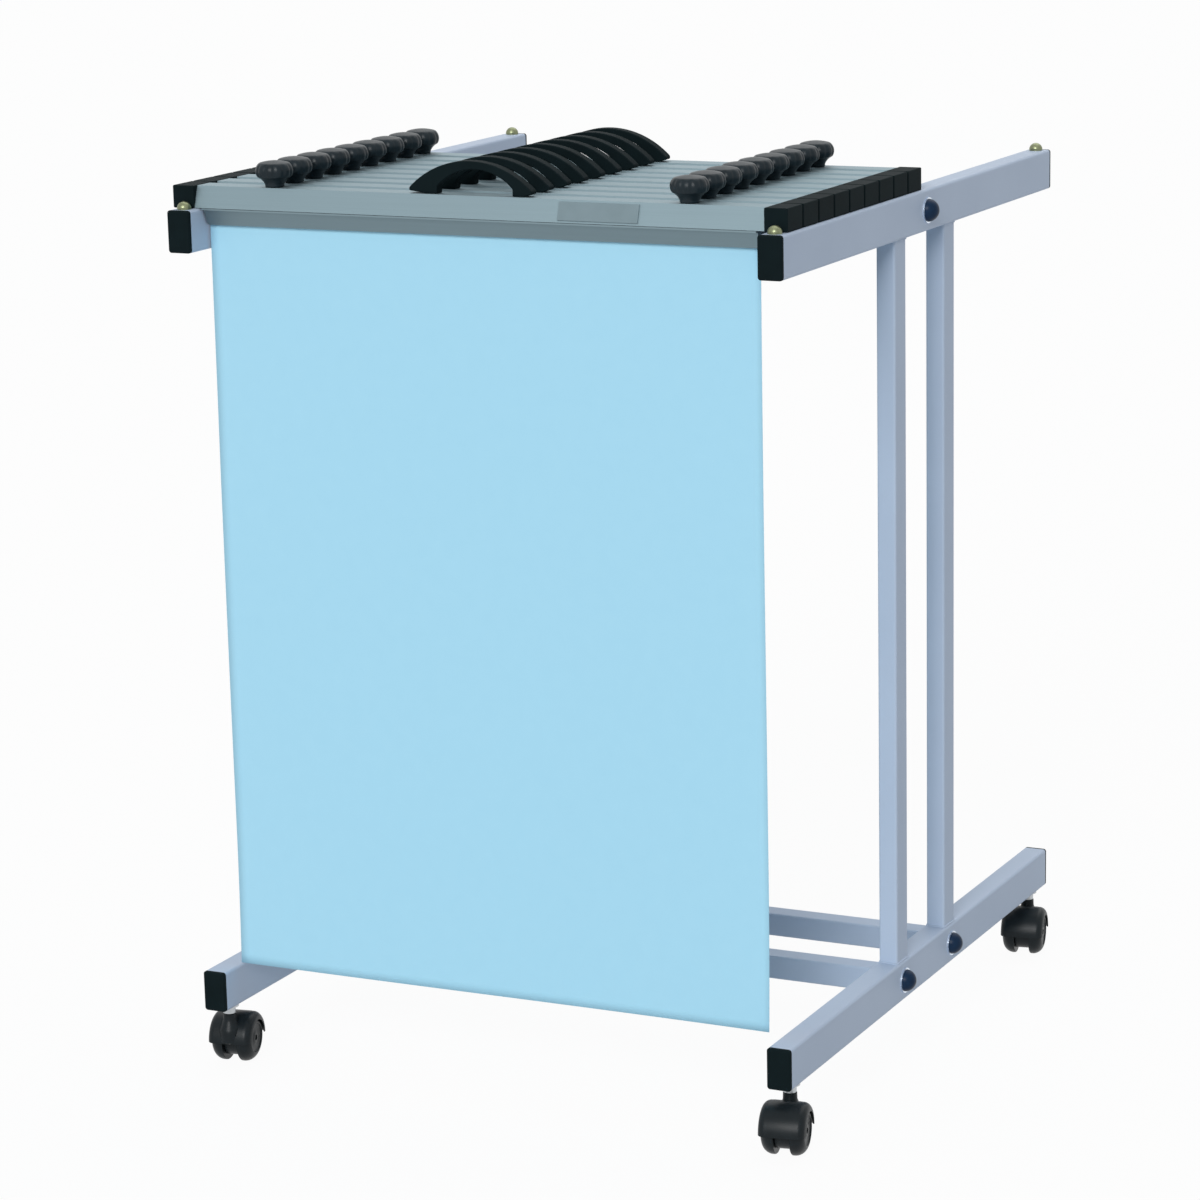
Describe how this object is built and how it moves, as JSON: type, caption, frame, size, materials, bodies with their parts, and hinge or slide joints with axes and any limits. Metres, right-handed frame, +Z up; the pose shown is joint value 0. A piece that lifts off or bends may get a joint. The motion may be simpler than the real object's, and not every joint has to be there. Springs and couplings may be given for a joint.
{
  "type": "plan hanging rack",
  "caption": "Mobile plan hanging rack: tube side frames with open top rails on twin-wheel castors, carrying hanging clamps with knobs and arched handles; the front clamp holds a sheet.",
  "frame": {"origin": "on the floor, under the middle of the frame: bottom centre of the whole object", "axes": "+X to the right across the rack, along the clamps; +Y from the sheet at the front to the back along the rails; +Z up"},
  "size_m": [0.6978, 0.781, 0.948],
  "materials": {
    "aluminium": "satin anodised extrusion",
    "black_plastic": "moulded black plastic with a fine grain",
    "bright_steel": "bright nickel plate",
    "castor_nylon": "black nylon",
    "castor_tread": "black nylon wheels",
    "clear_plastic": "translucent label strip",
    "knob_plastic": "moulded black plastic with a soft sheen",
    "paper": "plain light blue paper, with no print",
    "powder_coat": "semi-gloss powder coat over steel tube",
    "zinc_steel": "zinc-plated steel, hidden inside the frame"
  },
  "bodies": {
    "frame": {"top_rail_left": "powder_coat", "top_rail_right": "powder_coat", "base_rail_left": "powder_coat", "base_rail_right": "powder_coat", "posts": "powder_coat", "stretchers": "powder_coat", "stretcher_inserts": "zinc_steel", "frame_bolts": "zinc_steel", "frame_washers": "bright_steel", "bolt_caps": "black_plastic", "rail_end_caps": "black_plastic", "clamp_stops": "bright_steel", "castor_stems": "zinc_steel"},
    "castor_front_left_housing": {"castor_front_left_housing": "castor_nylon"},
    "castor_front_left_wheels": {"castor_front_left_wheels": "castor_tread"},
    "castor_front_right_housing": {"castor_front_right_housing": "castor_nylon"},
    "castor_front_right_wheels": {"castor_front_right_wheels": "castor_tread"},
    "castor_rear_left_housing": {"castor_rear_left_housing": "castor_nylon"},
    "castor_rear_left_wheels": {"castor_rear_left_wheels": "castor_tread"},
    "castor_rear_right_housing": {"castor_rear_right_housing": "castor_nylon"},
    "castor_rear_right_wheels": {"castor_rear_right_wheels": "castor_tread"},
    "clamp_01": {"clamp_01_bar": "aluminium", "clamp_01_fittings": "black_plastic", "clamp_01_label_holder": "clear_plastic", "hanging_sheet": "paper"},
    "clamp_01_knob_left": {"clamp_01_knob_left": "knob_plastic"},
    "clamp_01_knob_right": {"clamp_01_knob_right": "knob_plastic"},
    "clamp_02": {"clamp_02_bar": "aluminium", "clamp_02_fittings": "black_plastic"},
    "clamp_02_knob_left": {"clamp_02_knob_left": "knob_plastic"},
    "clamp_02_knob_right": {"clamp_02_knob_right": "knob_plastic"},
    "clamp_03": {"clamp_03_bar": "aluminium", "clamp_03_fittings": "black_plastic"},
    "clamp_03_knob_left": {"clamp_03_knob_left": "knob_plastic"},
    "clamp_03_knob_right": {"clamp_03_knob_right": "knob_plastic"},
    "clamp_04": {"clamp_04_bar": "aluminium", "clamp_04_fittings": "black_plastic"},
    "clamp_04_knob_left": {"clamp_04_knob_left": "knob_plastic"},
    "clamp_04_knob_right": {"clamp_04_knob_right": "knob_plastic"},
    "clamp_05": {"clamp_05_bar": "aluminium", "clamp_05_fittings": "black_plastic"},
    "clamp_05_knob_left": {"clamp_05_knob_left": "knob_plastic"},
    "clamp_05_knob_right": {"clamp_05_knob_right": "knob_plastic"},
    "clamp_06": {"clamp_06_bar": "aluminium", "clamp_06_fittings": "black_plastic"},
    "clamp_06_knob_left": {"clamp_06_knob_left": "knob_plastic"},
    "clamp_06_knob_right": {"clamp_06_knob_right": "knob_plastic"},
    "clamp_07": {"clamp_07_bar": "aluminium", "clamp_07_fittings": "black_plastic"},
    "clamp_07_knob_left": {"clamp_07_knob_left": "knob_plastic"},
    "clamp_07_knob_right": {"clamp_07_knob_right": "knob_plastic"},
    "clamp_08": {"clamp_08_bar": "aluminium", "clamp_08_fittings": "black_plastic"},
    "clamp_08_knob_left": {"clamp_08_knob_left": "knob_plastic"},
    "clamp_08_knob_right": {"clamp_08_knob_right": "knob_plastic"},
    "clamp_09": {"clamp_09_bar": "aluminium", "clamp_09_fittings": "black_plastic"},
    "clamp_09_knob_left": {"clamp_09_knob_left": "knob_plastic"},
    "clamp_09_knob_right": {"clamp_09_knob_right": "knob_plastic"},
    "clamp_01_jaw": {"clamp_01_jaw": "aluminium"}
  },
  "joints": [
    {"name": "castor_front_left_swivel", "type": "hinge", "parent": "frame", "child": "castor_front_left_housing", "pos_m": [-0.3165, -0.341, 0.057], "axis": [0, 0, 1], "continuous": true},
    {"name": "castor_front_left_roll", "type": "hinge", "parent": "castor_front_left_housing", "child": "castor_front_left_wheels", "pos_m": [-0.31963, -0.32327, 0.025], "axis": [0.9848, 0.1736, 0], "continuous": true},
    {"name": "castor_front_right_swivel", "type": "hinge", "parent": "frame", "child": "castor_front_right_housing", "pos_m": [0.3165, -0.341, 0.057], "axis": [0, 0, 1], "continuous": true},
    {"name": "castor_front_right_roll", "type": "hinge", "parent": "castor_front_right_housing", "child": "castor_front_right_wheels", "pos_m": [0.31963, -0.35873, 0.025], "axis": [-0.9848, -0.1736, 0], "continuous": true},
    {"name": "castor_rear_left_swivel", "type": "hinge", "parent": "frame", "child": "castor_rear_left_housing", "pos_m": [-0.3165, 0.341, 0.057], "axis": [0, 0, 1], "continuous": true},
    {"name": "castor_rear_left_roll", "type": "hinge", "parent": "castor_rear_left_housing", "child": "castor_rear_left_wheels", "pos_m": [-0.31963, 0.35873, 0.025], "axis": [0.9848, 0.1736, 0], "continuous": true},
    {"name": "castor_rear_right_swivel", "type": "hinge", "parent": "frame", "child": "castor_rear_right_housing", "pos_m": [0.3165, 0.341, 0.057], "axis": [0, 0, 1], "continuous": true},
    {"name": "castor_rear_right_roll", "type": "hinge", "parent": "castor_rear_right_housing", "child": "castor_rear_right_wheels", "pos_m": [0.31963, 0.32327, 0.025], "axis": [-0.9848, -0.1736, 0], "continuous": true},
    {"name": "clamp_01_lift", "type": "slide", "parent": "frame", "child": "clamp_01", "axis": [0, 0, 1], "range_m": [0, 0.12]},
    {"name": "clamp_01_knob_left_turn", "type": "hinge", "parent": "clamp_01", "child": "clamp_01_knob_left", "pos_m": [-0.2275, -0.33, 0.917], "axis": [0, 0, 1], "range_deg": [0, 360]},
    {"name": "clamp_01_knob_right_turn", "type": "hinge", "parent": "clamp_01", "child": "clamp_01_knob_right", "pos_m": [0.2195, -0.33, 0.917], "axis": [0, 0, 1], "range_deg": [0, 360]},
    {"name": "clamp_02_lift", "type": "slide", "parent": "frame", "child": "clamp_02", "axis": [0, 0, 1], "range_m": [0, 0.12]},
    {"name": "clamp_02_knob_left_turn", "type": "hinge", "parent": "clamp_02", "child": "clamp_02_knob_left", "pos_m": [-0.2275, -0.292, 0.917], "axis": [0, 0, 1], "range_deg": [0, 360]},
    {"name": "clamp_02_knob_right_turn", "type": "hinge", "parent": "clamp_02", "child": "clamp_02_knob_right", "pos_m": [0.2195, -0.292, 0.917], "axis": [0, 0, 1], "range_deg": [0, 360]},
    {"name": "clamp_03_lift", "type": "slide", "parent": "frame", "child": "clamp_03", "axis": [0, 0, 1], "range_m": [0, 0.12]},
    {"name": "clamp_03_knob_left_turn", "type": "hinge", "parent": "clamp_03", "child": "clamp_03_knob_left", "pos_m": [-0.2275, -0.254, 0.917], "axis": [0, 0, 1], "range_deg": [0, 360]},
    {"name": "clamp_03_knob_right_turn", "type": "hinge", "parent": "clamp_03", "child": "clamp_03_knob_right", "pos_m": [0.2195, -0.254, 0.917], "axis": [0, 0, 1], "range_deg": [0, 360]},
    {"name": "clamp_04_lift", "type": "slide", "parent": "frame", "child": "clamp_04", "axis": [0, 0, 1], "range_m": [0, 0.12]},
    {"name": "clamp_04_knob_left_turn", "type": "hinge", "parent": "clamp_04", "child": "clamp_04_knob_left", "pos_m": [-0.2275, -0.216, 0.917], "axis": [0, 0, 1], "range_deg": [0, 360]},
    {"name": "clamp_04_knob_right_turn", "type": "hinge", "parent": "clamp_04", "child": "clamp_04_knob_right", "pos_m": [0.2195, -0.216, 0.917], "axis": [0, 0, 1], "range_deg": [0, 360]},
    {"name": "clamp_05_lift", "type": "slide", "parent": "frame", "child": "clamp_05", "axis": [0, 0, 1], "range_m": [0, 0.12]},
    {"name": "clamp_05_knob_left_turn", "type": "hinge", "parent": "clamp_05", "child": "clamp_05_knob_left", "pos_m": [-0.2275, -0.178, 0.917], "axis": [0, 0, 1], "range_deg": [0, 360]},
    {"name": "clamp_05_knob_right_turn", "type": "hinge", "parent": "clamp_05", "child": "clamp_05_knob_right", "pos_m": [0.2195, -0.178, 0.917], "axis": [0, 0, 1], "range_deg": [0, 360]},
    {"name": "clamp_06_lift", "type": "slide", "parent": "frame", "child": "clamp_06", "axis": [0, 0, 1], "range_m": [0, 0.12]},
    {"name": "clamp_06_knob_left_turn", "type": "hinge", "parent": "clamp_06", "child": "clamp_06_knob_left", "pos_m": [-0.2275, -0.14, 0.917], "axis": [0, 0, 1], "range_deg": [0, 360]},
    {"name": "clamp_06_knob_right_turn", "type": "hinge", "parent": "clamp_06", "child": "clamp_06_knob_right", "pos_m": [0.2195, -0.14, 0.917], "axis": [0, 0, 1], "range_deg": [0, 360]},
    {"name": "clamp_07_lift", "type": "slide", "parent": "frame", "child": "clamp_07", "axis": [0, 0, 1], "range_m": [0, 0.12]},
    {"name": "clamp_07_knob_left_turn", "type": "hinge", "parent": "clamp_07", "child": "clamp_07_knob_left", "pos_m": [-0.2275, -0.102, 0.917], "axis": [0, 0, 1], "range_deg": [0, 360]},
    {"name": "clamp_07_knob_right_turn", "type": "hinge", "parent": "clamp_07", "child": "clamp_07_knob_right", "pos_m": [0.2195, -0.102, 0.917], "axis": [0, 0, 1], "range_deg": [0, 360]},
    {"name": "clamp_08_lift", "type": "slide", "parent": "frame", "child": "clamp_08", "axis": [0, 0, 1], "range_m": [0, 0.12]},
    {"name": "clamp_08_knob_left_turn", "type": "hinge", "parent": "clamp_08", "child": "clamp_08_knob_left", "pos_m": [-0.2275, -0.064, 0.917], "axis": [0, 0, 1], "range_deg": [0, 360]},
    {"name": "clamp_08_knob_right_turn", "type": "hinge", "parent": "clamp_08", "child": "clamp_08_knob_right", "pos_m": [0.2195, -0.064, 0.917], "axis": [0, 0, 1], "range_deg": [0, 360]},
    {"name": "clamp_09_lift", "type": "slide", "parent": "frame", "child": "clamp_09", "axis": [0, 0, 1], "range_m": [0, 0.12]},
    {"name": "clamp_09_knob_left_turn", "type": "hinge", "parent": "clamp_09", "child": "clamp_09_knob_left", "pos_m": [-0.2275, -0.026, 0.917], "axis": [0, 0, 1], "range_deg": [0, 360]},
    {"name": "clamp_09_knob_right_turn", "type": "hinge", "parent": "clamp_09", "child": "clamp_09_knob_right", "pos_m": [0.2195, -0.026, 0.917], "axis": [0, 0, 1], "range_deg": [0, 360]},
    {"name": "clamp_01_jaw_open", "type": "slide", "parent": "clamp_01", "child": "clamp_01_jaw", "axis": [0, -1, 0], "range_m": [0, 0.0021]}
  ],
  "couplings": [
    {"joint": "clamp_01_jaw_open", "follows": "clamp_01_knob_left_turn", "m_per_rad": 0.0003183},
    {"joint": "clamp_01_knob_right_turn", "follows": "clamp_01_knob_left_turn", "ratio": 1}
  ]
}
